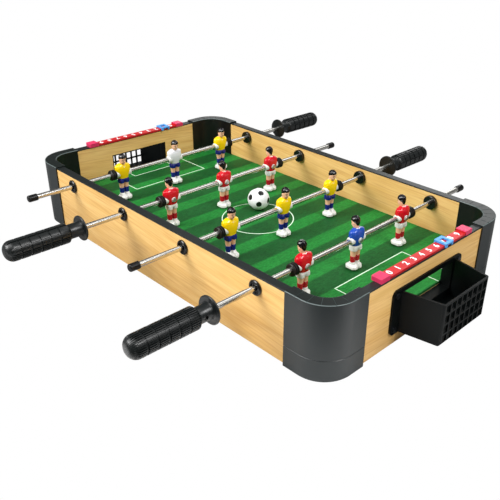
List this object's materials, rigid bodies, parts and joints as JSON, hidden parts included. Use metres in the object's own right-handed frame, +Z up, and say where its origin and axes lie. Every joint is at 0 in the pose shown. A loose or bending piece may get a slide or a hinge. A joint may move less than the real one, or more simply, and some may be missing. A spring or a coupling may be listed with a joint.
{
  "type": "foosball table",
  "caption": "Tabletop foosball table with sliding, spinning rods of players, moulded corners, goal catchers and score bars.",
  "frame": {"origin": "on the surface that the feet stand on, under the middle of the field", "axes": "+X along the field towards one goal, +Y along the rods, +Z up"},
  "size_m": [0.595, 0.575, 0.094],
  "materials": {
    "wood_print": "satin printed wood grain",
    "corner_plastic": "fine satin moulding",
    "trim_plastic": "satin",
    "field_print": "matt print with mown stripes and white lines",
    "bare_board": "raw",
    "goal_plastic": "satin",
    "bushing_plastic": "satin",
    "score_red": "gloss",
    "marker_blue": "gloss",
    "rod_chrome": "polished",
    "screw_steel": "plain",
    "grip_black": "satin",
    "bumper_rubber": "matt",
    "ball_white": "gloss with dark spots",
    "player_yellow": "painted",
    "player_red": "painted",
    "player_white": "painted",
    "player_blue": "painted"
  },
  "bodies": {
    "frame": {"side_panel_near": "wood_print", "side_trim_near": "trim_plastic", "side_panel_far": "wood_print", "side_trim_far": "trim_plastic", "end_panel_right": "wood_print", "end_trim_right": "trim_plastic", "goal_box_right": "goal_plastic", "score_bar_right": "score_red", "end_panel_left": "wood_print", "end_trim_left": "trim_plastic", "goal_box_left": "goal_plastic", "score_bar_left": "score_red", "corner_cover_near_right": "corner_plastic", "corner_foot_near_right": "corner_plastic", "corner_cover_far_right": "corner_plastic", "corner_foot_far_right": "corner_plastic", "corner_cover_far_left": "corner_plastic", "corner_foot_far_left": "corner_plastic", "corner_cover_near_left": "corner_plastic", "corner_foot_near_left": "corner_plastic", "playfield": "field_print", "field_ledges": "bare_board", "panel_screws": "screw_steel", "outer_bushings": "bushing_plastic", "inner_bushings": "bushing_plastic"},
    "marker_left": {"score_marker_left": "marker_blue"},
    "marker_right": {"score_marker_right": "marker_blue"},
    "ball": {"ball": "ball_white"},
    "slider_1": {"bumpers_1": "bumper_rubber"},
    "spinner_1": {"rod_1": "rod_chrome", "handle_1": "grip_black", "end_cap_1": "grip_black", "rod_screws_1": "screw_steel", "player_1a": "player_yellow", "player_1b": "player_white", "player_1c": "player_yellow"},
    "slider_2": {"bumpers_2": "bumper_rubber"},
    "spinner_2": {"rod_2": "rod_chrome", "handle_2": "grip_black", "end_cap_2": "grip_black", "rod_screws_2": "screw_steel", "player_2a": "player_red", "player_2b": "player_red", "player_2c": "player_red"},
    "slider_3": {"bumpers_3": "bumper_rubber"},
    "spinner_3": {"rod_3": "rod_chrome", "handle_3": "grip_black", "end_cap_3": "grip_black", "rod_screws_3": "screw_steel", "player_3a": "player_yellow", "player_3b": "player_yellow", "player_3c": "player_yellow"},
    "slider_4": {"bumpers_4": "bumper_rubber"},
    "spinner_4": {"rod_4": "rod_chrome", "handle_4": "grip_black", "end_cap_4": "grip_black", "rod_screws_4": "screw_steel", "player_4a": "player_red", "player_4b": "player_blue", "player_4c": "player_red"}
  },
  "joints": [
    {"name": "rod_slide_1", "type": "slide", "parent": "frame", "child": "slider_1", "axis": [0, 1, 0], "range_m": [-0.0365, 0.0305]},
    {"name": "rod_spin_1", "type": "hinge", "parent": "slider_1", "child": "spinner_1", "pos_m": [-0.16305, 0, 0.0685], "axis": [0, 1, 0], "continuous": true},
    {"name": "rod_slide_2", "type": "slide", "parent": "frame", "child": "slider_2", "axis": [0, 1, 0], "range_m": [-0.0325, 0.0345]},
    {"name": "rod_spin_2", "type": "hinge", "parent": "slider_2", "child": "spinner_2", "pos_m": [-0.05435, 0, 0.0685], "axis": [0, 1, 0], "continuous": true},
    {"name": "rod_slide_3", "type": "slide", "parent": "frame", "child": "slider_3", "axis": [0, 1, 0], "range_m": [-0.0305, 0.0365]},
    {"name": "rod_spin_3", "type": "hinge", "parent": "slider_3", "child": "spinner_3", "pos_m": [0.05435, 0, 0.0685], "axis": [0, 1, 0], "continuous": true},
    {"name": "rod_slide_4", "type": "slide", "parent": "frame", "child": "slider_4", "axis": [0, 1, 0], "range_m": [-0.0305, 0.0365]},
    {"name": "rod_spin_4", "type": "hinge", "parent": "slider_4", "child": "spinner_4", "pos_m": [0.16305, 0, 0.0685], "axis": [0, 1, 0], "continuous": true},
    {"name": "marker_slide_right", "type": "slide", "parent": "frame", "child": "marker_right", "axis": [0, 1, 0], "range_m": [-0.0902, 0.0252]},
    {"name": "marker_slide_left", "type": "slide", "parent": "frame", "child": "marker_left", "axis": [0, 1, 0], "range_m": [-0.1032, 0.0122]},
    {"name": "ball_roll", "type": "slide", "parent": "frame", "child": "ball", "axis": [0, 1, 0], "range_m": [-0.15, 0.096]}
  ]
}
